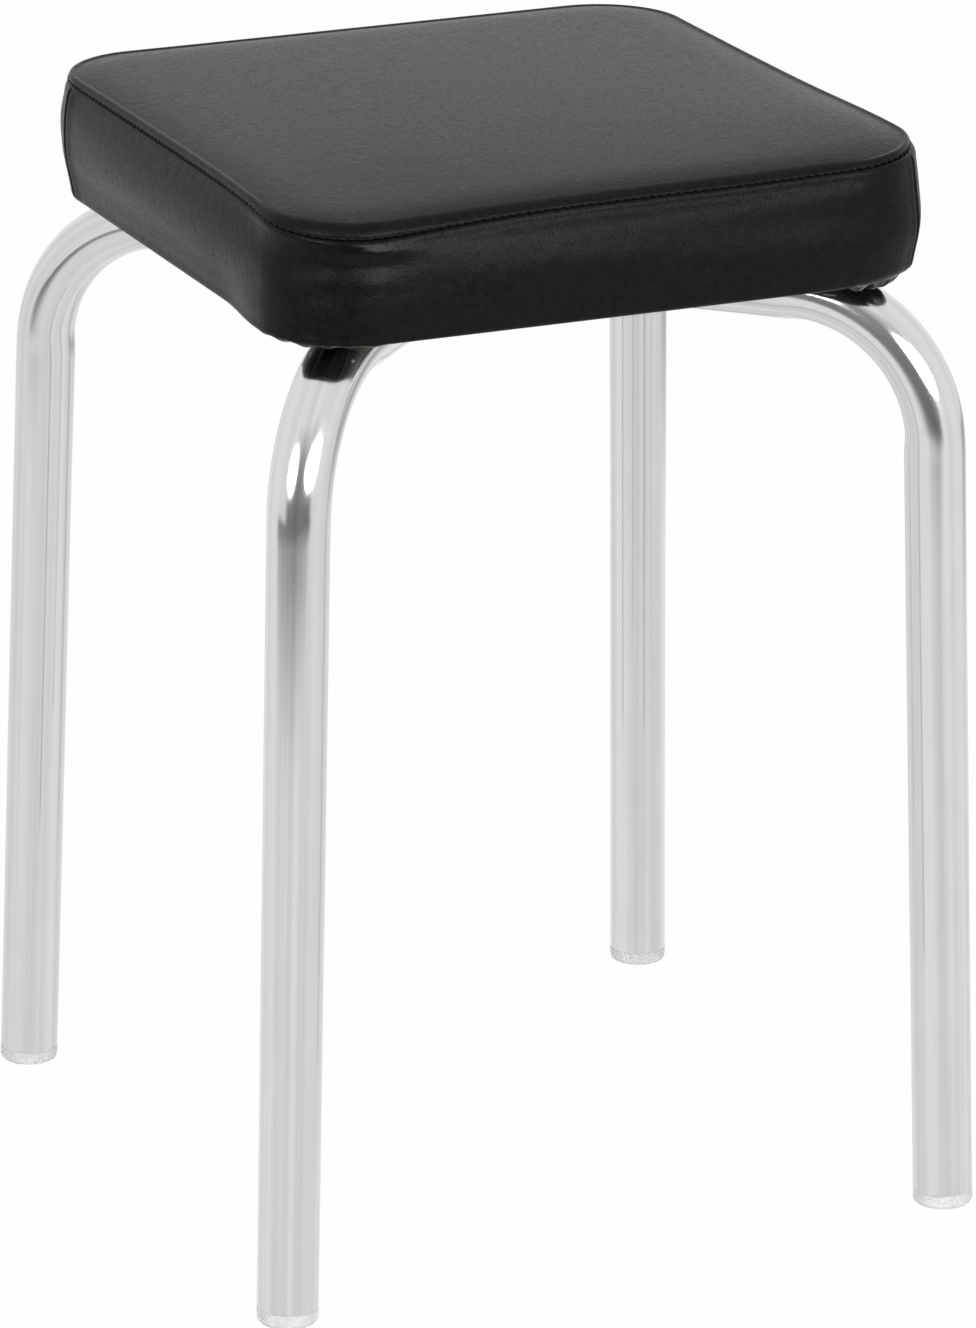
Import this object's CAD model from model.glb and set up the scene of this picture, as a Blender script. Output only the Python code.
import math

import bpy
import numpy as np
from mathutils import Matrix, Vector


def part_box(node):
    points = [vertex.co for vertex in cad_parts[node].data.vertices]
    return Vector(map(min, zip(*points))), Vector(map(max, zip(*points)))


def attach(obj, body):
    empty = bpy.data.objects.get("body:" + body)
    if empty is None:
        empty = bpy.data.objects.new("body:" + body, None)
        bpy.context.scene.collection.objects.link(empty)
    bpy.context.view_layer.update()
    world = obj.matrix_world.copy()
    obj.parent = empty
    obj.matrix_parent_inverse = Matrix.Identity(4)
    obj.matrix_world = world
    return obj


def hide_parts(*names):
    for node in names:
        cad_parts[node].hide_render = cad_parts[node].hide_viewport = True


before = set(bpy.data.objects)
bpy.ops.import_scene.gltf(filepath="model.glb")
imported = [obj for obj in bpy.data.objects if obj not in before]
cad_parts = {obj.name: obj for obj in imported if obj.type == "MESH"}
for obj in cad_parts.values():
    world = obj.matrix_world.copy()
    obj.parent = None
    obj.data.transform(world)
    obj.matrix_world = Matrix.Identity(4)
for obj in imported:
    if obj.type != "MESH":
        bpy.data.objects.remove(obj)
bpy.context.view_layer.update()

# Stacking stool: a padded leatherette seat on four chromed tube legs, in metres with +Z up.
# The front of the seat faces -Y, and the legs stand on its diagonals.

MM = 0.001

# Tube frame
TUBE_RADIUS = 12.5 * MM
TUBE_WALL = 1.5 * MM
BEND_RADIUS = 60 * MM
LEG_LEAN = math.radians(2.4)
FOOT_REACH = 211 * MM
TUBE_END = 6 * MM
COPE_LAND = 4 * MM

# Tube mesh: bends are eased in and out, and a little flattened, most on their inner side
BEND_SQUEEZE = 0.014
INNER_SQUEEZE = 0.07
SQUEEZE_FADE = 14 * MM
BEND_EASE = 6 * MM
EASE_SAMPLES = 25
TUBE_SIDES = 96
BEND_STEPS = 70
TUBE_TURNS = np.arange(TUBE_SIDES) * 2 * math.pi / TUBE_SIDES
LEVEL_SHARES = (1.0, 0.5, 0.2)
LEG_SHARES = (0.1, 0.3, 0.6, 1.0)

# Seat board and cover
BOARD_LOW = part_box("seat_board")[0].z
BOARD_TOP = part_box("seat_board")[1].z
BOARD_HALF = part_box("seat_board")[1].x
BOARD_CORNER = 35 * MM
CORNER_CENTRE = BOARD_HALF - BOARD_CORNER
COVER_HALF = -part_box("cover_band_front")[0].x
SEAM_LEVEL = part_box("cover_top_panel")[0].z
COVER_THICKNESS = 1.2 * MM
SEAM_DRAW = 0.8 * MM
SIDE_BOW = 3.0 * MM
FRONT_BOW = 0.6 * MM
CREST_INSET = 6.6 * MM
CREST_HALF = COVER_HALF - CREST_INSET
CREST_RISE = 2.4 * MM
CREST_LEVEL = SEAM_LEVEL + CREST_RISE
CROWN = 3.6 * MM

# Centre of a leg's bend: height, and place out from the middle
BEND_LOW = BOARD_LOW - TUBE_RADIUS - BEND_RADIUS
BEND_OUT = FOOT_REACH - (BEND_RADIUS + BEND_LOW * math.sin(LEG_LEAN)) / math.cos(LEG_LEAN)

# Seam threads
STITCH_PITCH = 3.8 * MM
STITCH_LENGTH = 2.9 * MM
THREAD_RADIUS = 0.38 * MM
THREAD_SEGMENTS = 8
THREAD_RINGS = 6

# Studio floor and world, with their light where they are seen or mirrored
FLOOR_HALF = 12.0
FLOOR_GREY = 0.86
FLOOR_ROUGHNESS = 0.9
FLOOR_GLOW = 0.97
WORLD_LIGHT = 0.3

# Studio cloths that the chrome mirrors: turns from the front in degrees, distances and heights in
# metres, and shades from 0, black, to 1, white
CARPET_LEVEL = 1 * MM
CARPET_STEPS = 60
CARPET_STARTS = {-104: 1.35, -90: 1.1, -60: 1.02, -45: 1.05, -24: 1.05, 0: 1.15, 18: 1.5}
CARPET_SHADES = {0.0: 1.0, 0.45: 0.42, 1.1: 0.22}
BACK_CARPET_TURNS = (84, 180)
BACK_CARPET_SHADES = {0.85: 1.0, 1.25: 0.6, 1.9: 0.5, 2.8: 1.0}
CURTAIN_DISTANCE = 3.0
CURTAIN_STEPS = 40
CURTAIN_TURNS = (-76, 16)
CURTAIN_SHADES = {0.0: 0.24, 1.0: 0.3, 1.9: 0.38, 2.7: 0.65, 3.9: 1.0}
CLOTH_END_FADE = 14

# Softboxes as place (turn from the front, distance and height), size and power, and what they aim at
SOFTBOXES = {
    "left_softbox": ((-60, 2.2, 1.2), (1.1, 1.15), 22),
    "right_softbox": ((4, 2.2, 1.12), (1.8, 1.0), 39),
}
SOFTBOX_AIM = Vector((0, 0, 0.3))

# Photograph's camera
CAMERA_AZIMUTH = -24.377
CAMERA_ELEVATION = math.radians(19.305)
CAMERA_ROLL = math.radians(0.435)
CAMERA_DISTANCE = 2.705
CAMERA_TARGET = Vector((0.0023, -0.0057, 0.2122))
CAMERA_LENS = 174.47
CAMERA_SENSOR = 36.0


# Mesh helpers

def add_object(name, data):
    """A new object in the scene."""
    piece = bpy.data.objects.new(name, data)
    bpy.context.scene.collection.objects.link(piece)
    return piece


def add_mesh(name, vertices, faces):
    """A smooth mesh object at the origin, from arrays of points and faces."""
    mesh = bpy.data.meshes.new(name)
    mesh.from_pydata([tuple(point) for point in vertices], [], [tuple(face) for face in faces])
    mesh.polygons.foreach_set("use_smooth", [True] * len(mesh.polygons))
    mesh.update()
    return add_object(name, mesh)


def number_rows(count, wide, start=0):
    """Point numbers of some rows of the same width."""
    return [list(range(start + row * wide, start + (row + 1) * wide)) for row in range(count)]


def strip_faces(rows, closed=True):
    """Quads between rows of point numbers, each row running the same way."""
    faces = []
    for upper, lower in zip(rows, rows[1:]):
        count = len(upper)
        for place in range(count if closed else count - 1):
            after = (place + 1) % count
            faces.append((upper[place], lower[place], lower[after], upper[after]))
    return faces


def add_values(piece, name, values):
    """Gives every point of a piece a named value."""
    layer = piece.data.attributes.new(name, "FLOAT", "POINT")
    layer.data.foreach_set("value", values)


def settle(piece):
    """Replaces a piece's mesh by its evaluated mesh and removes the modifiers."""
    graph = bpy.context.evaluated_depsgraph_get()
    done = bpy.data.meshes.new_from_object(piece.evaluated_get(graph))
    piece.modifiers.clear()
    before = piece.data
    piece.data = done
    bpy.data.meshes.remove(before)
    done.name = piece.name


# Material helpers

class Finish:
    """A node material under construction, with its Principled shader and shared coordinates."""

    def __init__(self, name):
        self.material = bpy.data.materials.new(name)
        self.material.use_nodes = True
        self.tree = self.material.node_tree
        self.shader = self.tree.nodes["Principled BSDF"]
        self.place = self.add("ShaderNodeTexCoord").outputs["Object"]

    def add(self, kind, **settings):
        """A node with its settings or inputs given by name."""
        node = self.tree.nodes.new(kind)
        for key, setting in settings.items():
            name = key.replace("_", " ").title()
            if hasattr(node, key):
                setattr(node, key, setting)
            else:
                node.inputs[name].default_value = setting
        return node

    def link(self, start, end):
        self.tree.links.new(start, end)

    def set(self, inputs):
        """Sets constants on the shader's own sockets."""
        for name, setting in inputs.items():
            self.shader.inputs[name].default_value = setting

    def stretched(self, scale):
        """The shared coordinates, scaled along each axis."""
        mapping = self.add("ShaderNodeMapping")
        mapping.inputs["Scale"].default_value = scale
        self.link(self.place, mapping.inputs["Vector"])
        return mapping.outputs["Vector"]

    def texture(self, kind, output, place=None, **settings):
        """A texture over the shared coordinates, or over others."""
        node = self.add(f"ShaderNodeTex{kind}", **settings)
        self.link(place or self.place, node.inputs["Vector"])
        return node.outputs[output]

    def noise(self, scale, detail=3.0, roughness=0.55, place=None):
        return self.texture("Noise", "Fac", place, scale=scale, detail=detail, roughness=roughness)

    def cells(self, scale, feature="DISTANCE_TO_EDGE"):
        return self.texture("Voronoi", "Distance", feature=feature, scale=scale)

    def colour(self, value, low, high, start=0.3, end=0.7):
        """Gives the shader colours from low to high as a value goes from start to end."""
        node = self.add("ShaderNodeValToRGB")
        first, last = node.color_ramp.elements
        first.position, first.color = start, (*low, 1)
        last.position, last.color = end, (*high, 1)
        self.link(value, node.inputs["Fac"])
        self.link(node.outputs["Color"], self.shader.inputs["Base Color"])

    def remap(self, value, low, high, start=0.3, end=0.7):
        """Numbers from low to high as a value goes from start to end."""
        node = self.add("ShaderNodeMapRange")
        for name, setting in (("From Min", start), ("From Max", end), ("To Min", low), ("To Max", high)):
            node.inputs[name].default_value = setting
        self.link(value, node.inputs["Value"])
        return node.outputs["Result"]

    def sum(self, first, second, share=1.0):
        """First plus a share of second."""
        node = self.add("ShaderNodeMath", operation="MULTIPLY_ADD")
        self.link(second, node.inputs[0])
        node.inputs[1].default_value = share
        self.link(first, node.inputs[2])
        return node.outputs["Value"]

    def bump(self, height, distance, strength=1.0):
        """Gives the shader a bumped normal, and returns the bump node."""
        node = self.add("ShaderNodeBump", strength=strength, distance=distance)
        self.link(height, node.inputs["Height"])
        self.link(node.outputs["Normal"], self.shader.inputs["Normal"])
        return node

    def roughness(self, output):
        self.link(output, self.shader.inputs["Roughness"])


# Finishes

def make_leatherette():
    """Black leatherette: fine pebbled grain with finer creases, glossier where it is pulled tight."""
    finish = Finish("black_leatherette")
    finish.set({"IOR": 1.42, "Specular IOR Level": 0.138, "Specular Tint": (0.92, 0.915, 0.89, 1)})
    tight = finish.add("ShaderNodeAttribute", attribute_name="tight").outputs["Fac"]
    cloud = finish.noise(260, detail=5, roughness=0.7)
    finish.colour(cloud, (0.0022, 0.0022, 0.0021), (0.0055, 0.0054, 0.0052), 0.35, 0.65)
    grain = finish.cells(880)
    fine = finish.noise(2300, detail=2)
    creases = finish.noise(620, detail=3, roughness=0.6)
    waves = finish.noise(200, detail=3, roughness=0.6)
    pebbles = finish.sum(finish.remap(grain, 0, 0.5, 0.0, 0.45), fine, 0.45)
    height = finish.sum(finish.sum(pebbles, creases, 0.9), waves, 1.6)
    grain_bump = finish.bump(height, 0.14 * MM)
    finish.link(finish.remap(tight, 0.8, 0.25, 0.0, 1.0), grain_bump.inputs["Strength"])
    marks = finish.remap(finish.noise(520, detail=5, roughness=0.7), 0.26, 0.38, 0.35, 0.65)
    finish.roughness(finish.sum(marks, tight, -0.18))
    return finish.material


def make_chrome():
    """Chromed tube: bright, with soft lengthwise streaks, fine drawing lines and a few cloudy marks."""
    finish = Finish("chromed_tube")
    finish.place = finish.add("ShaderNodeAttribute", attribute_name="tube_map").outputs["Vector"]
    finish.set({"Metallic": 1.0})
    streaks = finish.noise(1.0, detail=2, place=finish.stretched((2.6, 2.6, 0.8)))
    lines = finish.noise(1.0, detail=2, place=finish.stretched((6, 6, 1.1)))
    clouds = finish.noise(1.0, detail=4, place=finish.stretched((1.2, 1.2, 25)))
    tone = finish.sum(finish.sum(streaks, lines, 0.4), clouds, 0.25)
    finish.colour(tone, (0.53, 0.53, 0.522), (0.70, 0.702, 0.698), 0.52, 1.1)
    finish.roughness(finish.remap(clouds, 0.09, 0.17, 0.35, 0.7))
    finish.bump(finish.sum(streaks, lines, 0.35), 0.10 * MM, 0.16)
    return finish.material


def make_clear_plastic():
    """Milky plastic of the foot plugs, a little scuffed."""
    finish = Finish("milky_plastic")
    finish.set({"IOR": 1.49, "Transmission Weight": 0.35, "Subsurface Weight": 0.25,
                "Subsurface Radius": (0.004, 0.004, 0.004)})
    finish.colour(finish.noise(160), (0.66, 0.68, 0.66), (0.80, 0.81, 0.79))
    finish.roughness(finish.remap(finish.noise(420, detail=4), 0.22, 0.42))
    finish.bump(finish.noise(900), 0.05 * MM, 0.3)
    return finish.material


def make_plywood():
    """Dark-stained plywood: long grain and darker pores."""
    finish = Finish("stained_plywood")
    grain = finish.noise(1.0, detail=6, roughness=0.65, place=finish.stretched((9, 150, 9)))
    pores = finish.noise(1.0, detail=3, place=finish.stretched((40, 900, 40)))
    tone = finish.sum(grain, pores, 0.3)
    finish.colour(tone, (0.020, 0.014, 0.010), (0.062, 0.042, 0.028), 0.45, 0.85)
    finish.roughness(finish.remap(grain, 0.55, 0.75))
    finish.bump(pores, 0.15 * MM, 0.4)
    return finish.material


def make_foam():
    """Open-cell foam."""
    finish = Finish("yellowed_foam")
    finish.colour(finish.noise(45), (0.52, 0.45, 0.27), (0.66, 0.60, 0.40))
    finish.set({"Roughness": 0.95, "Specular IOR Level": 0.15})
    finish.bump(finish.cells(650, "F1"), 0.5 * MM, 0.8)
    return finish.material


def make_zinc():
    """Zinc-plated steel with a faint yellow cast and handling marks."""
    finish = Finish("zinc_steel")
    finish.set({"Metallic": 1.0})
    spots = finish.noise(260, detail=4)
    finish.colour(spots, (0.52, 0.51, 0.47), (0.72, 0.71, 0.66))
    finish.roughness(finish.remap(spots, 0.24, 0.42))
    finish.bump(finish.noise(1500), 0.03 * MM, 0.3)
    return finish.material


def make_weld():
    """Chromed weld bead with small ripples."""
    finish = Finish("chromed_weld")
    finish.set({"Metallic": 1.0})
    ripple = finish.texture("Wave", "Fac", bands_direction="Z", scale=160.0, distortion=4.0, detail=2.0)
    finish.colour(finish.noise(200), (0.50, 0.50, 0.49), (0.68, 0.68, 0.68))
    finish.roughness(finish.remap(finish.noise(300), 0.16, 0.3))
    finish.bump(ripple, 0.25 * MM, 0.6)
    return finish.material


def make_black_plastic():
    """Black nylon of the saddle washers, lightly textured."""
    finish = Finish("black_nylon")
    finish.colour(finish.noise(120), (0.016, 0.016, 0.017), (0.030, 0.030, 0.031))
    finish.roughness(finish.remap(finish.noise(500), 0.42, 0.6))
    finish.bump(finish.noise(1300), 0.05 * MM, 0.4)
    return finish.material


def make_thread():
    """Black twisted sewing thread."""
    finish = Finish("black_thread")
    finish.colour(finish.noise(1400), (0.003, 0.003, 0.003), (0.008, 0.008, 0.008))
    finish.set({"Roughness": 0.8, "Specular IOR Level": 0.15, "Sheen Weight": 0.05})
    twist = finish.texture("Wave", "Fac", scale=900.0, distortion=1.0)
    finish.bump(twist, 0.1 * MM, 0.5)
    return finish.material


leatherette = make_leatherette()
chrome = make_chrome()
thread = make_thread()


# Chromed tubes

def smooth_step(share):
    """An eased rise from 0 to 1, level on both sides of it."""
    share = np.clip(share, 0, 1)
    return share * share * (3 - 2 * share)


def bell(way, width):
    """A soft bump: 1 in its middle, and fading out over its width."""
    return np.exp(-(way / width) ** 2)


def leg_line():
    """Centre line of one leg in its own upright plane, from the middle along the level run, round
    the bend and down to the tube's end: place out, height, turn of the line and share of bend squeeze."""
    full_turn = math.pi / 2 - LEG_LEAN
    bend_length = full_turn * BEND_RADIUS
    leg_length = (BEND_LOW + BEND_RADIUS * math.sin(LEG_LEAN)) / math.cos(LEG_LEAN) - TUBE_END
    level = [-BEND_OUT * share for share in LEVEL_SHARES]
    bend = np.linspace(-2 * BEND_EASE, bend_length + 2 * BEND_EASE, BEND_STEPS)
    leg = [bend_length + leg_length * share for share in LEG_SHARES]
    points = []
    for way in (*level, *bend, *leg):
        ways = way + np.linspace(-BEND_EASE, BEND_EASE, EASE_SAMPLES)
        turns = np.clip(ways / BEND_RADIUS, 0, full_turn)
        beyond = ways - turns * BEND_RADIUS
        outs = BEND_OUT + BEND_RADIUS * np.sin(turns) + beyond * np.cos(turns)
        ups = BEND_LOW + BEND_RADIUS * np.cos(turns) - beyond * np.sin(turns)
        inside = min(way, bend_length - way)
        squeeze = smooth_step(inside / SQUEEZE_FADE + 0.5)
        points.append((outs.mean(), ups.mean(), turns.mean(), squeeze))
    return points


def tube_rings(line, radius, direction, coped):
    """Rings of points round a centre line, with the first ring cut to the hoop where it is coped."""
    across = np.array((-direction[1], direction[0], 0.0))
    rings = []
    for number, (out, up, turn, squeeze) in enumerate(line):
        outside = np.sin(TUBE_TURNS) > 0
        flat = radius * (1 - np.where(outside, BEND_SQUEEZE, INNER_SQUEEZE) * squeeze)
        wide = radius * (1 + BEND_SQUEEZE * squeeze)
        sideways = wide * np.cos(TUBE_TURNS)
        upwards = flat * np.sin(TUBE_TURNS)
        outs = out + upwards * math.sin(turn)
        ups = up + upwards * math.cos(turn)
        if coped and number == 0:
            outs = np.maximum(COPE_LAND, np.sqrt(TUBE_RADIUS ** 2 - upwards ** 2))
        ring = np.outer(outs, (*direction, 0.0)) + np.outer(sideways, across)
        ring[:, 2] = ups
        rings.append(ring)
    return rings


def add_tube(name, outer, inner, lengths):
    """A closed tube wall from outer and inner rings, with a map of its turns and its length."""
    sides = TUBE_SIDES
    loop = outer + inner[::-1]
    vertices = np.concatenate(loop)
    rows = number_rows(len(loop), sides)
    piece = add_mesh(name, vertices, strip_faces(rows + rows[:1]))
    ring = np.column_stack([np.cos(TUBE_TURNS), np.sin(TUBE_TURNS)])
    turns = np.tile(ring, (len(loop), 1))
    along = np.repeat(lengths + lengths[::-1], sides)
    layer = piece.data.attributes.new("tube_map", "FLOAT_VECTOR", "POINT")
    layer.data.foreach_set("vector", np.column_stack([turns, along]).ravel())
    rims = ({0, len(loop) - 1}, {len(outer) - 1, len(outer)})
    for edge in piece.data.edges:
        ends = {vertex // sides for vertex in edge.vertices}
        edge.use_edge_sharp = any(ends <= rim for rim in rims)
    piece.data.materials.append(chrome)
    return piece


def line_lengths(line):
    """Running length at each point of a centre line."""
    steps = [math.dist(first[:2], second[:2]) for first, second in zip(line, line[1:])]
    return [0.0, *np.cumsum(steps)]


def diagonal(corner):
    """Unit direction from the middle of the stool to a corner."""
    return corner[0] / math.sqrt(2), corner[1] / math.sqrt(2)


def make_single_tube(name, corner):
    """One bent leg at a corner, coped to the hoop."""
    line = leg_line()
    direction = diagonal(corner)
    outer = tube_rings(line, TUBE_RADIUS, direction, True)
    inner = tube_rings(line, TUBE_RADIUS - TUBE_WALL, direction, True)
    return add_tube(name, outer, inner, line_lengths(line))


def make_hoop_tube(name, corner):
    """One tube through the middle, with a leg at a corner and one at the opposite corner."""
    line = leg_line()
    there = diagonal(corner)
    lengths = line_lengths(line)
    walls = []
    for radius in (TUBE_RADIUS, TUBE_RADIUS - TUBE_WALL):
        near = tube_rings(line, radius, there, False)
        far = tube_rings(line, radius, (-there[0], -there[1]), False)
        mirrored = [np.roll(ring[::-1], TUBE_SIDES // 2 + 1, axis=0) for ring in far]
        walls.append(mirrored[:0:-1] + near)
    return add_tube(name, *walls, [-length for length in lengths[:0:-1]] + lengths)


tubes = {
    "leg_hoop": make_hoop_tube("chromed_hoop", (1, -1)),
    "front_left_leg": make_single_tube("chromed_leg_front_left", (-1, -1)),
    "back_right_leg": make_single_tube("chromed_leg_back_right", (1, 1)),
}
for node, tube in tubes.items():
    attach(tube, "root")
    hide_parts(node)


# Leatherette cover: columns run round the seat from the front left corner, rows run out and down

CORNER_TURNS = [0, 0.9, 2.3, 4.4, 7, 10, 13, 16, 19, 22, 25, 28, 31, 34, 37, 40, 42.7]
LEFT_TURNS = [0, 4, 8, 12, 16, 20, 24, 28, 31, 34, 36.5, 38.6, 40.2, 41.3, 42.0, 42.9, 44.0]
LEFT_SEAM_TURN = 42.0
SIDE_COLUMNS = 50
SIDE_CELLS = SIDE_COLUMNS + 2 * len(CORNER_TURNS)
COLUMNS = 4 * SIDE_CELLS
RIGHT_SEAM = SIDE_CELLS
LEFT_CORNER = 3 * SIDE_CELLS
LEFT_SEAM = LEFT_CORNER + LEFT_TURNS.index(LEFT_SEAM_TURN)

# Rows of the top's edge, out to the seam, in millimetres: width past the crest line, and height above
# it where the edge is a ridge and where it is worn round
GRID_EDGE = -3.6 * MM
EDGE_ROWS = [(-2.2, 0.0, 0.0), (-1.35, -0.1, -0.08), (-0.75, -0.3, -0.2), (0.0, -0.05, -0.46),
             (0.8, 0.3, -0.86), (1.6, 0.2, -1.38), (2.15, -0.2, -1.8), (2.5, -0.9, -2.06),
             (2.6, -1.8, -2.22), (1.9, -2.4, -2.4)]
EDGE_CROWN_SHARE = 0.6
STITCH_ROW = 8

# Rows of the side, down to the hem, in millimetres: width past the widest line and height above the seam
SIDE_ROWS = [(-4.4, -0.25), (-3.7, -0.8), (-2.95, -1.8), (-2.4, -3.0), (-2.0, -4.4), (-1.5, -6.4),
             (-1.0, -8.8), (-0.55, -11.8), (-0.2, -15.0), (0.0, -18.5), (-0.15, -22.0), (-0.55, -25.5),
             (-1.1, -29.0), (-1.75, -32.5), (-2.45, -36.0), (-3.15, -39.5), (-3.7, -42.5), (-4.1, -45.0),
             (-4.4, -47.2), (-4.9, -48.6), (-5.9, -49.35), (-7.4, -49.55), (-10.0, -49.55),
             (-13.5, -49.55), (-17.5, -49.55), (-21.5, -49.55), (-25.5, -49.55)]

# Fades of the side: below the seam and above the lower edge in millimetres, and above the board
SEAM_BOW_FADE = 14
SEAM_SWELL_FADE = 8
SEAM_CREASE_FADE = 4
LOWER_EDGE = 49.5
LOWER_EDGE_FADE = 3
BOARD_BOW_FADE = 22 * MM
BOARD_LIFT_FADE = 36 * MM

# Uneven foam, with lifts in millimetres: level, rise to the back right, the worn front left and the
# full right corner as centre, width and lift, and wear along the front
FOAM_LEVEL = 0.7
FOAM_TILT = 2.0
FOAM_TILT_EASE = 0.8
FOAM_CORNERS = [((-110 * MM, -135 * MM), 60 * MM, -1.6), ((135 * MM, -100 * MM), 55 * MM, 1.8)]
FRONT_WEAR = -1.2
FRONT_WEAR_WIDTH = 50 * MM

# Seam that sits low along the front and the left, and most at the front left corner
FRONT_SEAM_DROP = 1.4 * MM
SEAM_DROP_START = 0.2
SEAM_DROP_FADE = 0.6
CORNER_SEAM_DROP = 2.4 * MM
CORNER_SEAM_SPOT = (22 * MM, 45 * MM)

# Stretches of the front as first and last place and the fades at both
WORN_EDGE = (-55 * MM, 262 * MM, 35 * MM, 40 * MM)
FULL_FRONT = (-75 * MM, 255 * MM, 40 * MM, 40 * MM)

# Fullness of the side, at the corners in millimetres, with the depths and fades where it starts
RIGHT_FULLNESS = 1.8
RIGHT_LOW_FULLNESS = 1.5
RIGHT_DEPTHS = (8, 25)
LEFT_FULLNESS = 1.2
LEFT_DEPTH = 16
LEFT_FADE = 9
CORNER_WIDTH = 24 * MM
FRONT_FULLNESS = 3.4 * MM
FRONT_DEPTHS = (12, 30)

# Upright seams: heights of the ridges and the groove in millimetres, with place and widths
SEAM_RIDGE = 0.7
SEAM_RIDGE_PLACE = 1.9 * MM
SEAM_RIDGE_WIDTH = 1.3 * MM
SEAM_GROOVE = 1.4
SEAM_GROOVE_WIDTH = 0.6 * MM

# Corner pleats: share of their depth in each row where the cover turns under, and depths by corner
PLEAT_SHARES = [0.02, 0.16, 0.5, 0.9, 1.0, 0.8, 0.45, 0.15]
PLEATS_PER_CORNER = 6
PLEAT_TURN = math.radians(3.8)
PLEAT_SPREAD = math.radians(78)
PLEAT_STRAY = 0.04
PLEAT_REACH = 34 * MM
PLEAT_REACH_END = 0.2
PLEAT_DEPTHS = [(0.8 * MM, 2.6 * MM), (4 * MM, 8 * MM), (2 * MM, 6 * MM), (0.8 * MM, 3 * MM)]
PLEAT_SEED = 5
GATHER_DEPTH = 1.6 * MM
GATHER_TURN = math.radians(24)
TUBE_GAP = 0.8 * MM

# Swelling of the cover over its foam: room left for it, and the cloth that gives it
SIDE_SWELL = 1.0 * MM
TOP_SWELL = 1.2 * MM
SWELL_LIMIT = 2.0 * MM
SMALLEST_MOVE = 1e-9
CLOTH_SCALE = 10
CLOTH_QUALITY = 6
CLOTH_MASS = 0.02
CLOTH_STIFFNESS = 30
CLOTH_BENDING = 4
CLOTH_PRESSURE = 3
CLOTH_FRAMES = 20

# Foam block: gaps to the cover and the board, and the rows of the cover that it follows
FOAM_GAP = 0.3 * MM
FOAM_BOARD_GAP = 0.05 * MM
FOAM_FOOT_INSET = 6 * MM
FOAM_EDGE_ROWS = (0, 2, 3)
FOAM_SIDE_START = -4.5

# Soft hollows and swellings of the side in millimetres: way round from the front left corner, height
# above the seam, half length, half height and depth outwards
DIMPLES = [(160, -4.0, 110, 2.5, -0.8), (24, -5.8, 18, 3.0, 1.1), (25, -11.5, 17, 3.6, -0.8),
           (24, -22.0, 15, 4.0, 0.6), (-18, -10.0, 30, 9.0, -1.2), (-8, -26.0, 60, 20.0, -3.5),
           (-130, -45.0, 90, 1.8, -0.7), (-20, -6.0, 12, 4.0, 0.4), (-9, -14.0, 10, 7.0, -0.6),
           (-24, -25.0, 13, 5.0, 0.6), (4, -30.0, 12, 6.0, -0.6), (24, -34.0, 20, 5.0, 0.4),
           (-14, -38.0, 14, 5.0, -0.5), (110, -22.0, 45, 9.0, 0.4), (215, -18.0, 70, 9.0, -1.3),
           (-120, -20.0, 45, 9.0, -0.4), (-190, -28.0, 40, 8.0, 0.4), (245, -20.0, 15, 8.0, -0.5),
           (-245, -20.0, 15, 8.0, -0.5), (400, -18.0, 50, 9.0, 0.4), (520, -22.0, 30, 9.0, -0.5)]

# Spot under the seam where the cover is pulled tight, given in the same way but without a depth
TIGHT_SPOT = (23, -3.6, 17, 3.0)


class CoverColumns:
    """Anchor, outward direction, turn from the nearest corner and run round the seat of every column."""

    def __init__(self):
        self.rows = []
        for quarter in range(4):
            for angle in LEFT_TURNS if quarter == 3 else CORNER_TURNS:
                self.take(quarter, -1, angle - 45, angle)
            for number in range(SIDE_COLUMNS):
                self.take(quarter, 2 * number / SIDE_COLUMNS - 1, 0, 45)
            for angle in [45, *CORNER_TURNS[:0:-1]]:
                self.take(quarter, 1, 45 - angle, -angle)
        self.anchor, self.outward, self.place, self.turn = map(np.array, zip(*self.rows))
        base = self.ring(COVER_HALF, 0.0, 0.0)
        steps = np.linalg.norm(np.roll(base, -1, axis=0) - base, axis=1)
        self.run = np.concatenate([[0.0], np.cumsum(steps)[:-1]])
        self.round = steps.sum()

    def take(self, quarter, place, lean, turn):
        """Adds a column of the side that faces -Y, turned to its quarter."""
        spin = Matrix.Rotation(math.pi / 2 * quarter, 2)
        angle = math.radians(lean - 90)
        anchor = spin @ Vector((place * CORNER_CENTRE, -CORNER_CENTRE))
        outward = spin @ Vector((math.cos(angle), math.sin(angle)))
        self.rows.append((anchor, outward, place, math.radians(turn)))

    def ring(self, half, height, bow=-SEAM_DRAW):
        """Points of one row, bowed out or drawn in between the corners: half width and height may
        differ from column to column."""
        reach = half - CORNER_CENTRE + bow * (1 - self.place ** 2)
        flat = self.anchor + self.outward * np.reshape(reach, (-1, 1))
        return np.column_stack([flat, np.broadcast_to(height, len(flat))])

    def bump(self, centre, width):
        """A soft bump over the columns, by the way round from the front left corner."""
        return bell(self.away(centre), width)

    def away(self, centre):
        """Way round from a place to every column, the shorter way."""
        return (self.run - centre + self.round / 2) % self.round - self.round / 2

    def stretch(self, first, last, first_fade, last_fade):
        """1 over a stretch of columns and 0 beyond it, by the way round."""
        way = self.away(0)
        return smooth_step((way - first) / first_fade) * smooth_step((last - way) / last_fade)


columns = CoverColumns()


def crown_height(flat):
    """Height of the crowned top over the crest line at flat places."""
    shares = np.clip(1 - (flat / CREST_HALF) ** 2, 0, 1)
    return (CROWN - TOP_SWELL) * shares[:, 0] * shares[:, 1]


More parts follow.
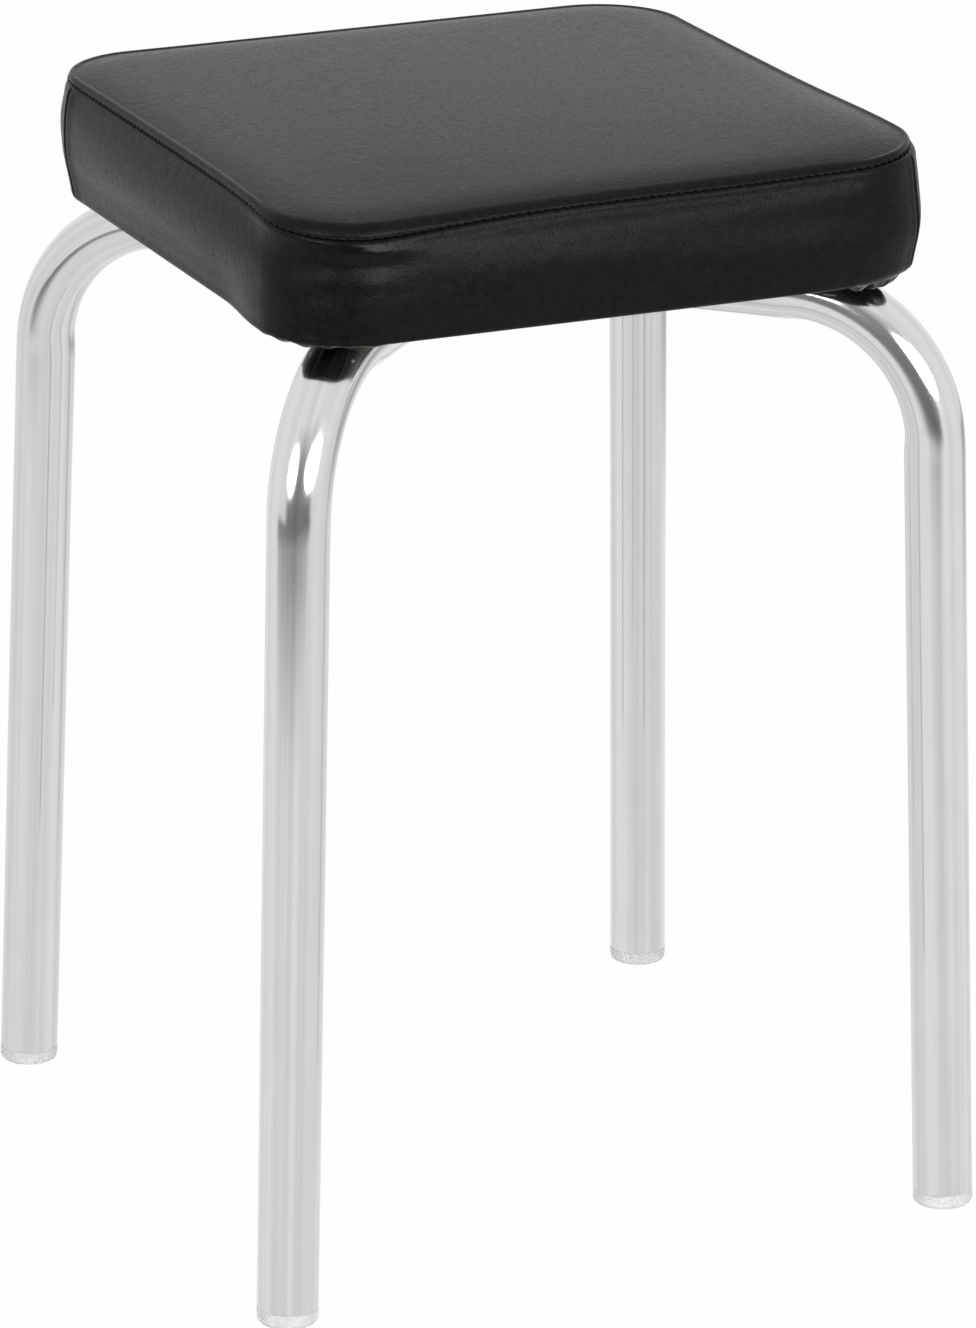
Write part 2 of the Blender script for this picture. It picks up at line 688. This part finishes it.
def foam_lift(flat):
    """How far the uneven foam lifts the top over its plain level."""
    back = flat.sum(axis=1) / (2 * COVER_HALF)
    lift = FOAM_LEVEL + FOAM_TILT * back - FOAM_TILT_EASE * np.clip(back, 0, None) ** 2
    for centre, width, rise in FOAM_CORNERS:
        lift += rise * np.exp(-(((flat - centre) / width) ** 2).sum(axis=1))
    lift += FRONT_WEAR * bell(flat[:, 1] + COVER_HALF, FRONT_WEAR_WIDTH)
    return lift * MM


def seam_drop():
    """How far the seam sits under its plain level along the front and the left side."""
    back = columns.ring(COVER_HALF, 0.0)[:, :2].sum(axis=1) / (2 * COVER_HALF)
    along = smooth_step((SEAM_DROP_START - back) / SEAM_DROP_FADE)
    return FRONT_SEAM_DROP * along + CORNER_SEAM_DROP * columns.bump(*CORNER_SEAM_SPOT)


def rim_place(square):
    """Quarters gone round the rim of a square grid, from its lower left corner."""
    across, up = square
    if up == -1 and across < 1:
        return (across + 1) / 2
    if across == 1 and up < 1:
        return 1 + (up + 1) / 2
    if up == 1 and across > -1:
        return 2 + (1 - across) / 2
    return 3 + (1 - up) / 2


def rounded_grid(half):
    """Square grid of flat points fitted to the seat's rounded outline at a half width."""
    cells = SIDE_CELLS
    rim = columns.ring(half, 0.0)[:, :2]
    closed = np.vstack([rim, rim[:1]])
    points = []
    for row in range(-cells, cells + 1, 2):
        for column in range(-cells, cells + 1, 2):
            ring = max(abs(row), abs(column))
            if ring == 0:
                points.append(np.zeros(2))
                continue
            square = np.array((column / ring, row / ring))
            where = rim_place(square) * cells
            low = int(where) % COLUMNS
            part = where - int(where)
            edge = closed[low] * (1 - part) + closed[low + 1] * part
            share = ring / cells
            pull = share ** 2
            points.append(share * (edge * pull + square * half * (1 - pull)))
    return np.array(points)


def grid_rim():
    """Numbers of the grid's rim points, column by column."""
    cells = SIDE_CELLS
    wide = cells + 1
    front = list(range(cells))
    right = [row * wide + cells for row in range(cells)]
    back = [cells * wide + column for column in range(cells, 0, -1)]
    left = [row * wide for row in range(cells, 0, -1)]
    return front + right + back + left


def grid_faces():
    """Quads of the square grid, row by row."""
    wide = SIDE_CELLS + 1
    starts = [row * wide + column for row in range(SIDE_CELLS) for column in range(SIDE_CELLS)]
    return [(start, start + 1, start + wide + 1, start + wide) for start in starts]


def edge_rings():
    """Rows from the crowned top over the crest line to the seam."""
    last = len(EDGE_ROWS) - 1
    lift = crown_height(columns.ring(CREST_HALF + GRID_EDGE, 0.0)[:, :2])
    rings = []
    worn = columns.stretch(*WORN_EDGE)
    for number, (out, ridge, round_off) in enumerate(EDGE_ROWS):
        up = ridge + (round_off - ridge) * worn
        ring = columns.ring(CREST_HALF + out * MM, CREST_LEVEL + up * MM)
        ring[:, 2] += foam_lift(ring[:, :2]) - seam_drop() * (number / last) ** 2
        ring[:, 2] += lift * (1 - number / last) ** 2 * EDGE_CROWN_SHARE
        rings.append(ring)
    return rings


def below_seam(up, depth, fade):
    """0 at heights down to a depth below the seam, and 1 below its fade."""
    return float(smooth_step((-up - depth) / fade))


def above_lower_edge(up):
    """1 on the side of the seat, and 0 where the cover turns under."""
    return float(smooth_step((up + LOWER_EDGE) / LOWER_EDGE_FADE))


def above_board(level, fade):
    """0 at levels up to the top of the board, and 1 above its fade."""
    return float(smooth_step((level - BOARD_TOP) / fade))


def corner_seams():
    """Width of the upright seams at the left and right corners: a groove between two low ridges."""
    total = np.zeros(COLUMNS)
    for seam in (LEFT_SEAM, RIGHT_SEAM):
        arc = columns.away(columns.run[seam])
        ridges = SEAM_RIDGE * bell(np.abs(arc) - SEAM_RIDGE_PLACE, SEAM_RIDGE_WIDTH)
        total += (ridges - SEAM_GROOVE * bell(arc, SEAM_GROOVE_WIDTH)) * MM
    return total


def corner_fullness(up):
    """Width of the extra fullness at the left and right corners, at one height."""
    right = RIGHT_FULLNESS + RIGHT_LOW_FULLNESS * below_seam(up, *RIGHT_DEPTHS)
    left = LEFT_FULLNESS * bell(up + LEFT_DEPTH, LEFT_FADE)
    return (right * columns.bump(columns.run[RIGHT_SEAM], CORNER_WIDTH)
            + left * columns.bump(columns.run[LEFT_CORNER], CORNER_WIDTH)) * MM


def front_fullness(up):
    """Width of the lower part of the front, which drops straight to the board, at one height."""
    return FRONT_FULLNESS * below_seam(up, *FRONT_DEPTHS) * columns.stretch(*FULL_FRONT)


def side_dimples(up):
    """Width of the soft hollows and swellings at one height."""
    total = np.zeros(COLUMNS)
    for centre, height, length, tall, depth in DIMPLES:
        deep = depth * MM * bell(up - height, tall)
        total += deep * columns.bump(centre * MM, length * MM)
    return total


def corner_pleats():
    """Depth of the gathered folds under each corner, column by column."""
    random = np.random.RandomState(PLEAT_SEED)
    depth = np.zeros(COLUMNS)
    for quarter in range(4):
        here = columns.bump(columns.run[quarter * SIDE_CELLS], PLEAT_REACH) > PLEAT_REACH_END
        for number in range(PLEATS_PER_CORNER):
            share = number / (PLEATS_PER_CORNER - 1) - 0.5
            centre = share * PLEAT_SPREAD + random.uniform(-PLEAT_STRAY, PLEAT_STRAY)
            tall = random.uniform(*PLEAT_DEPTHS[quarter])
            depth += here * tall * bell(columns.turn - centre, PLEAT_TURN)
        depth += here * GATHER_DEPTH * bell(columns.turn, GATHER_TURN)
    return depth


def tube_top(points):
    """Height of the tubes' upper side under places near a corner, or far below where there is none."""
    flat = np.abs(points[:, :2])
    out = (flat[:, 0] + flat[:, 1]) / math.sqrt(2)
    across = (flat[:, 0] - flat[:, 1]) / math.sqrt(2)
    reach = BEND_RADIUS + np.sqrt(np.clip(TUBE_RADIUS ** 2 - across ** 2, 0, None))
    drop = reach ** 2 - np.clip(out - BEND_OUT, 0, None) ** 2
    level = BEND_LOW + np.sqrt(np.clip(drop, 0, None))
    return np.where(np.abs(across) < TUBE_RADIUS, level, 0.0)


def side_rings():
    """Rows from the seam down the padded side, under its edge and in to the hem."""
    pleats = corner_pleats()
    under = len(SIDE_ROWS) - len(PLEAT_SHARES)
    bows = np.where(np.arange(COLUMNS) < SIDE_CELLS, FRONT_BOW, SIDE_BOW)
    rings = []
    for number, (out, up) in enumerate(SIDE_ROWS):
        level = SEAM_LEVEL + up * MM
        off_board = above_board(level, BOARD_BOW_FADE)
        off_seam = below_seam(up, 0, SEAM_BOW_FADE)
        slack = SIDE_SWELL * below_seam(up, 0, SEAM_SWELL_FADE) * off_board
        full = corner_fullness(up) * above_lower_edge(up) + front_fullness(up)
        bow = bows * off_seam * off_board - SEAM_DRAW * (1 - off_seam)
        ring = columns.ring(COVER_HALF + out * MM - slack + full, level, bow)
        lift = foam_lift(ring[:, :2]) - seam_drop()
        ring[:, 2] += lift * above_board(level, BOARD_LIFT_FADE)
        if number >= under:
            ring[:, 2] -= pleats * PLEAT_SHARES[number - under]
            ring[:, 2] = np.maximum(ring[:, 2], np.minimum(level, tube_top(ring) + TUBE_GAP))
        rings.append(ring)
    return rings


class Cover:
    """The whole cover as one sheet of points: the grid of its top and the rows of its edge and side."""

    def __init__(self):
        flat = rounded_grid(CREST_HALF + GRID_EDGE)
        height = CREST_LEVEL + crown_height(flat) + foam_lift(flat)
        grid = np.column_stack([flat, height])
        edge = edge_rings()
        side = side_rings()
        self.points = np.concatenate([grid, *edge, *side])
        self.rim = grid_rim()
        self.edge_rows = number_rows(len(edge), COLUMNS, len(grid))
        self.side_rows = number_rows(len(side), COLUMNS, len(grid) + len(edge) * COLUMNS)

    def held_points(self):
        """Numbers of the points that the seams and the board hold still."""
        rows = self.edge_rows[1:] + self.side_rows[:2]
        for (out, up), row in zip(SIDE_ROWS, self.side_rows):
            if SEAM_LEVEL + up * MM < BOARD_TOP:
                rows.append(row)
        return [number for row in rows for number in row]

    def swell(self):
        """Lets the pressed foam push the cover out between its seams, as a cloth under pressure."""
        scene = bpy.context.scene
        faces = self.top_faces() + self.side_faces(0, COLUMNS)
        form = add_mesh("cover_form", self.points * CLOTH_SCALE, faces)
        held = form.vertex_groups.new(name="held")
        held.add(self.held_points(), 1.0, "REPLACE")
        cloth = form.modifiers.new("swell", "CLOTH")
        settings = cloth.settings
        settings.quality = CLOTH_QUALITY
        settings.mass = CLOTH_MASS
        settings.tension_stiffness = CLOTH_STIFFNESS
        settings.compression_stiffness = CLOTH_STIFFNESS
        settings.shear_stiffness = CLOTH_STIFFNESS / 2
        settings.bending_stiffness = CLOTH_BENDING
        settings.use_pressure = True
        settings.uniform_pressure_force = CLOTH_PRESSURE
        settings.effector_weights.gravity = 0
        settings.vertex_group_mass = "held"
        cloth.collision_settings.use_collision = False
        for number in range(1, CLOTH_FRAMES + 1):
            scene.frame_set(number)
        done = form.evaluated_get(bpy.context.evaluated_depsgraph_get()).to_mesh()
        places = np.empty(len(done.vertices) * 3)
        done.vertices.foreach_get("co", places)
        move = places.reshape(-1, 3) / CLOTH_SCALE - self.points
        away = np.linalg.norm(move, axis=1, keepdims=True)
        capped = SWELL_LIMIT * np.tanh(away / SWELL_LIMIT)
        self.points = self.points + move * capped / np.maximum(away, SMALLEST_MOVE)
        bpy.data.meshes.remove(form.data)
        scene.frame_set(1)

    def add_creases(self):
        """The upright seams and soft hollows of the side, and where the cover is tight."""
        seams = corner_seams()
        centre, height, length, tall = TIGHT_SPOT
        self.tight = np.zeros(len(self.points))
        for (out, up), row in zip(SIDE_ROWS, self.side_rows):
            self.tight[row] = bell(up - height, tall) * columns.bump(centre * MM, length * MM)
            on_side = below_seam(up, 0, SEAM_CREASE_FADE) * above_lower_edge(up)
            deep = np.reshape(on_side * (seams + side_dimples(up)), (-1, 1))
            self.points[row, :2] += columns.outward * deep

    def top_faces(self):
        """Quads of the top, out to the seam."""
        return grid_faces() + strip_faces([self.rim, *self.edge_rows])

    def side_faces(self, first, last):
        """Quads of the side from one column round to another."""
        wanted = [place % COLUMNS for place in range(first, last + 1)]
        rows = [self.edge_rows[-1], *self.side_rows]
        return strip_faces([[row[place] for place in wanted] for row in rows], closed=False)


def cover_piece(name, cover, faces):
    """A closed shell of leatherette from some faces of the cover."""
    used = sorted({number for face in faces for number in face})
    renumber = {number: place for place, number in enumerate(used)}
    piece = add_mesh(name, cover.points[used], [[renumber[number] for number in face] for face in faces])
    add_values(piece, "tight", cover.tight[used])
    piece.data.materials.append(leatherette)
    smooth = piece.modifiers.new("smooth", "SUBSURF")
    smooth.levels = smooth.render_levels = 1
    smooth.boundary_smooth = "PRESERVE_CORNERS"
    shell = piece.modifiers.new("thickness", "SOLIDIFY")
    shell.thickness = COVER_THICKNESS
    shell.offset = -1
    settle(piece)
    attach(piece, "root")
    return piece


def make_foam_pad(cover):
    """The foam block inside the cover: crowned on top, and flat where it rests on the board."""
    wide = SIDE_CELLS + 1
    inset = COVER_THICKNESS + FOAM_GAP
    top = cover.points[:wide * wide] - (0, 0, inset)
    inward = np.column_stack([columns.outward * inset, np.zeros(COLUMNS)])
    rows = [cover.points[cover.edge_rows[row]] - (0, 0, inset) for row in FOAM_EDGE_ROWS]
    for (out, up), row in zip(SIDE_ROWS, cover.side_rows):
        if up < FOAM_SIDE_START and SEAM_LEVEL + up * MM > BOARD_TOP + inset:
            rows.append(cover.points[row] - inward)
    rows.append(columns.ring(BOARD_HALF - FOAM_GAP, BOARD_TOP + FOAM_BOARD_GAP, 0.0))
    flat = rounded_grid(BOARD_HALF - FOAM_FOOT_INSET)
    base = np.column_stack([flat, np.full(len(flat), BOARD_TOP + FOAM_BOARD_GAP)])
    points = np.concatenate([top, *rows, base])
    numbers = number_rows(len(rows), COLUMNS, len(top))
    base_start = len(top) + len(rows) * COLUMNS
    base_rim = [base_start + number for number in cover.rim]
    base_faces = [tuple(base_start + number for number in face[::-1]) for face in grid_faces()]
    faces = grid_faces() + strip_faces([cover.rim, *numbers, base_rim]) + base_faces
    piece = add_mesh("seat_foam_pad", points, faces)
    piece.data.materials.append(make_foam())
    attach(piece, "root")
    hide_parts("seat_foam")


cover = Cover()
cover.swell()
cover.add_creases()
top_panel = cover_piece("seat_cover_top", cover, cover.top_faces())
front_band = cover_piece("seat_cover_front", cover, cover.side_faces(LEFT_SEAM, COLUMNS + RIGHT_SEAM))
back_band = cover_piece("seat_cover_back", cover, cover.side_faces(RIGHT_SEAM, LEFT_SEAM))
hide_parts("cover_top_panel")
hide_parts("cover_band_front")
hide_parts("cover_band_back")
make_foam_pad(cover)


# Topstitches along the seam

def stitch_tree():
    """Geometry nodes that lay short thread stitches along a line of edges."""
    tree = bpy.data.node_groups.new("seam_stitches", "GeometryNodeTree")
    for name, kind in (("Geometry", "Geometry"), ("Pitch", "Float"), ("Half Length", "Float"),
                       ("Thread Radius", "Float"), ("Thread", "Material")):
        tree.interface.new_socket(name, in_out="INPUT", socket_type=f"NodeSocket{kind}")
    tree.interface.new_socket("Geometry", in_out="OUTPUT", socket_type="NodeSocketGeometry")
    kinds = {
        "given": "NodeGroupInput", "line": "GeometryNodeMeshToCurve",
        "marks": "GeometryNodeResampleCurve", "along": "GeometryNodeInputTangent",
        "turn": "FunctionNodeAlignRotationToVector", "size": "ShaderNodeCombineXYZ",
        "thread": "GeometryNodeMeshUVSphere", "lay": "GeometryNodeInstanceOnPoints",
        "real": "GeometryNodeRealizeInstances", "smooth": "GeometryNodeSetShadeSmooth",
        "finish": "GeometryNodeSetMaterial", "made": "NodeGroupOutput",
    }
    nodes = {name: tree.nodes.new(kind) for name, kind in kinds.items()}
    nodes["marks"].mode = "LENGTH"
    nodes["turn"].axis = "X"
    nodes["thread"].inputs["Segments"].default_value = THREAD_SEGMENTS
    nodes["thread"].inputs["Rings"].default_value = THREAD_RINGS
    for start, output, end, entry in (
        ("given", "Geometry", "line", "Mesh"), ("line", "Curve", "marks", "Curve"),
        ("given", "Pitch", "marks", "Length"), ("marks", "Curve", "lay", "Points"),
        ("along", "Tangent", "turn", "Vector"), ("turn", "Rotation", "lay", "Rotation"),
        ("thread", "Mesh", "lay", "Instance"),
        ("given", "Half Length", "size", "X"), ("given", "Thread Radius", "size", "Y"),
        ("given", "Thread Radius", "size", "Z"), ("size", "Vector", "lay", "Scale"),
        ("lay", "Instances", "real", "Geometry"), ("real", "Geometry", "smooth", "Geometry"),
        ("smooth", "Geometry", "finish", "Geometry"), ("given", "Thread", "finish", "Material"),
        ("finish", "Geometry", "made", "Geometry"),
    ):
        tree.links.new(nodes[start].outputs[output], nodes[end].inputs[entry])
    return tree


def add_stitches(name, line, tree):
    """One closed row of stitches along a line of points."""
    count = len(line)
    piece = add_mesh(name, line, [])
    piece.data.edges.add(count)
    ends = [number for place in range(count) for number in (place, (place + 1) % count)]
    piece.data.edges.foreach_set("vertices", ends)
    piece.data.update()
    nodes = piece.modifiers.new("stitches", "NODES")
    nodes.node_group = tree
    sizes = {
        "Pitch": STITCH_PITCH,
        "Half Length": STITCH_LENGTH / 2,
        "Thread Radius": THREAD_RADIUS,
        "Thread": thread,
    }
    for socket in tree.interface.items_tree:
        if socket.in_out == "INPUT" and socket.name in sizes:
            nodes[socket.identifier] = sizes[socket.name]
    settle(piece)
    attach(piece, "root")


add_stitches("seam_stitches", cover.points[cover.edge_rows[STITCH_ROW]], stitch_tree())


# Finishes of the pieces that keep their solids

zinc = make_zinc()
milky = make_clear_plastic()
corners = ("front_left", "front_right", "back_left", "back_right")
for node, finish in {
    "seat_board": make_plywood(),
    "crossing_welds": make_weld(),
    "saddle_washers": make_black_plastic(),
    "cover_staples": zinc,
    "seat_bolts": zinc,
    "tee_nuts": zinc,
    **{f"foot_plug_{corner}": milky for corner in corners},
}.items():
    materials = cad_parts[node].data.materials
    materials.clear()
    materials.append(finish)


# Studio

def toward(azimuth, distance, height):
    """A place round the stool: azimuth in degrees from the front, turning right."""
    angle = math.radians(azimuth)
    return distance * math.sin(angle), -distance * math.cos(angle), height


def make_camera():
    """The photograph's camera, rolled a little about its line of sight."""
    back = Vector(toward(CAMERA_AZIMUTH, math.cos(CAMERA_ELEVATION), math.sin(CAMERA_ELEVATION)))
    right = Vector((0, 0, 1)).cross(back).normalized()
    up = back.cross(right)
    turned_right = math.cos(CAMERA_ROLL) * right + math.sin(CAMERA_ROLL) * up
    turned_up = -math.sin(CAMERA_ROLL) * right + math.cos(CAMERA_ROLL) * up
    data = bpy.data.cameras.new("photo_camera")
    data.sensor_width = CAMERA_SENSOR
    data.lens = CAMERA_LENS
    camera = add_object("photo_camera", data)
    camera.matrix_world = Matrix.Translation(CAMERA_TARGET + back * CAMERA_DISTANCE) @ Matrix(
        (turned_right, turned_up, back)).transposed().to_4x4()
    bpy.context.scene.camera = camera


def seen_directly(tree):
    """1 for rays from the camera, from glossy surfaces and through clear ones, and 0 for the rest."""
    path = tree.nodes.new("ShaderNodeLightPath")
    total = path.outputs["Is Camera Ray"]
    for name in ("Is Glossy Ray", "Is Transmission Ray"):
        larger = tree.nodes.new("ShaderNodeMath")
        larger.operation = "MAXIMUM"
        tree.links.new(total, larger.inputs[0])
        tree.links.new(path.outputs[name], larger.inputs[1])
        total = larger.outputs["Value"]
    return total


def make_floor():
    """A large pale floor that looks white and still takes the stool's shadow."""
    sides = ((-1, -1), (1, -1), (1, 1), (-1, 1))
    corners = [(FLOOR_HALF * across, FLOOR_HALF * along, 0) for across, along in sides]
    floor = add_mesh("studio_floor", corners, [(0, 1, 2, 3)])
    finish = Finish("pale_floor")
    finish.set({"Base Color": (FLOOR_GREY, FLOOR_GREY, FLOOR_GREY, 1), "Roughness": FLOOR_ROUGHNESS,
                "Specular IOR Level": 0.0})
    glow = finish.add("ShaderNodeEmission")
    mix = finish.add("ShaderNodeMixShader")
    share = finish.add("ShaderNodeMath", operation="MULTIPLY")
    share.inputs[1].default_value = FLOOR_GLOW
    finish.link(seen_directly(finish.tree), share.inputs[0])
    finish.link(share.outputs["Value"], mix.inputs["Fac"])
    finish.link(finish.shader.outputs["BSDF"], mix.inputs[1])
    finish.link(glow.outputs["Emission"], mix.inputs[2])
    finish.link(mix.outputs["Shader"], finish.tree.nodes["Material Output"].inputs["Surface"])
    floor.data.materials.append(finish.material)


def make_dark_front():
    """Dark carpet and curtain on the camera's side, which the chrome mirrors."""
    turns = np.linspace(min(CARPET_STARTS), max(CARPET_STARTS), CARPET_STEPS)
    starts = np.interp(turns, list(CARPET_STARTS), list(CARPET_STARTS.values()))
    lines = [[toward(*spot, CARPET_LEVEL) for spot in zip(turns, starts + way)] for way in CARPET_SHADES]
    lines.append([toward(turn, CURTAIN_DISTANCE, CARPET_LEVEL) for turn in turns])
    shades = [*CARPET_SHADES.values(), CURTAIN_SHADES[0.0]]
    carpet = add_card("studio_carpet", lines, faded(shades, turns))
    turns = np.linspace(*CURTAIN_TURNS, CURTAIN_STEPS)
    lines = [[toward(turn, CURTAIN_DISTANCE, height) for turn in turns] for height in CURTAIN_SHADES]
    curtain = add_card("studio_curtain", lines, faded(CURTAIN_SHADES.values(), turns))


def make_back_carpet():
    """A band of grey carpet behind the stool, which the chrome mirrors."""
    turns = np.linspace(*BACK_CARPET_TURNS, CARPET_STEPS)
    lines = [[toward(turn, way, CARPET_LEVEL) for turn in turns] for way in BACK_CARPET_SHADES]
    add_card("studio_back_carpet", lines, faded(BACK_CARPET_SHADES.values(), turns))


def faded(shades, turns):
    """Shades of some lines of points, faded to white at both ends of the lines."""
    start = smooth_step((turns - turns[0]) / CLOTH_END_FADE)
    end = smooth_step((turns[-1] - turns) / CLOTH_END_FADE)
    return np.concatenate([1 - (1 - shade) * (start * end) for shade in shades])


def add_card(name, lines, shades):
    """Grey cloth between lines of points, shaded point by point and seen in reflections only."""
    rows = number_rows(len(lines), len(lines[0]))
    card = add_mesh(name, [point for line in lines for point in line], strip_faces(rows, closed=False))
    add_values(card, "shade", shades)
    finish = Finish(f"{name}_cloth")
    finish.set({"Base Color": (0, 0, 0, 1), "Specular IOR Level": 0.0, "Emission Strength": 1.0})
    shade = finish.add("ShaderNodeAttribute", attribute_name="shade")
    finish.link(shade.outputs["Fac"], finish.shader.inputs["Emission Color"])
    card.data.materials.append(finish.material)
    card.visible_camera = False
    return card


def add_softbox(name, place, size, power):
    """An oval area lamp that points at the stool and isn't seen by the camera."""
    data = bpy.data.lights.new(name, "AREA")
    data.shape = "ELLIPSE"
    data.size, data.size_y = size
    data.energy = power
    lamp = add_object(name, data)
    lamp.location = place
    lamp.rotation_mode = "QUATERNION"
    lamp.rotation_quaternion = (SOFTBOX_AIM - Vector(place)).to_track_quat("-Z", "Y")
    lamp.visible_camera = False


def make_world():
    """Soft light from all round, plain white where it is seen directly."""
    world = bpy.data.worlds.new("studio_world")
    bpy.context.scene.world = world
    world.use_nodes = True
    tree = world.node_tree
    background = tree.nodes["Background"]
    background.inputs["Color"].default_value = (1, 1, 1, 1)
    strength = tree.nodes.new("ShaderNodeMapRange")
    strength.inputs["To Min"].default_value = WORLD_LIGHT
    tree.links.new(seen_directly(tree), strength.inputs["Value"])
    tree.links.new(strength.outputs["Result"], background.inputs["Strength"])


bpy.context.scene.view_settings.view_transform = "Standard"
make_camera()
make_floor()
make_world()
make_dark_front()
make_back_carpet()
for name, (place, size, power) in SOFTBOXES.items():
    add_softbox(name, toward(*place), size, power)
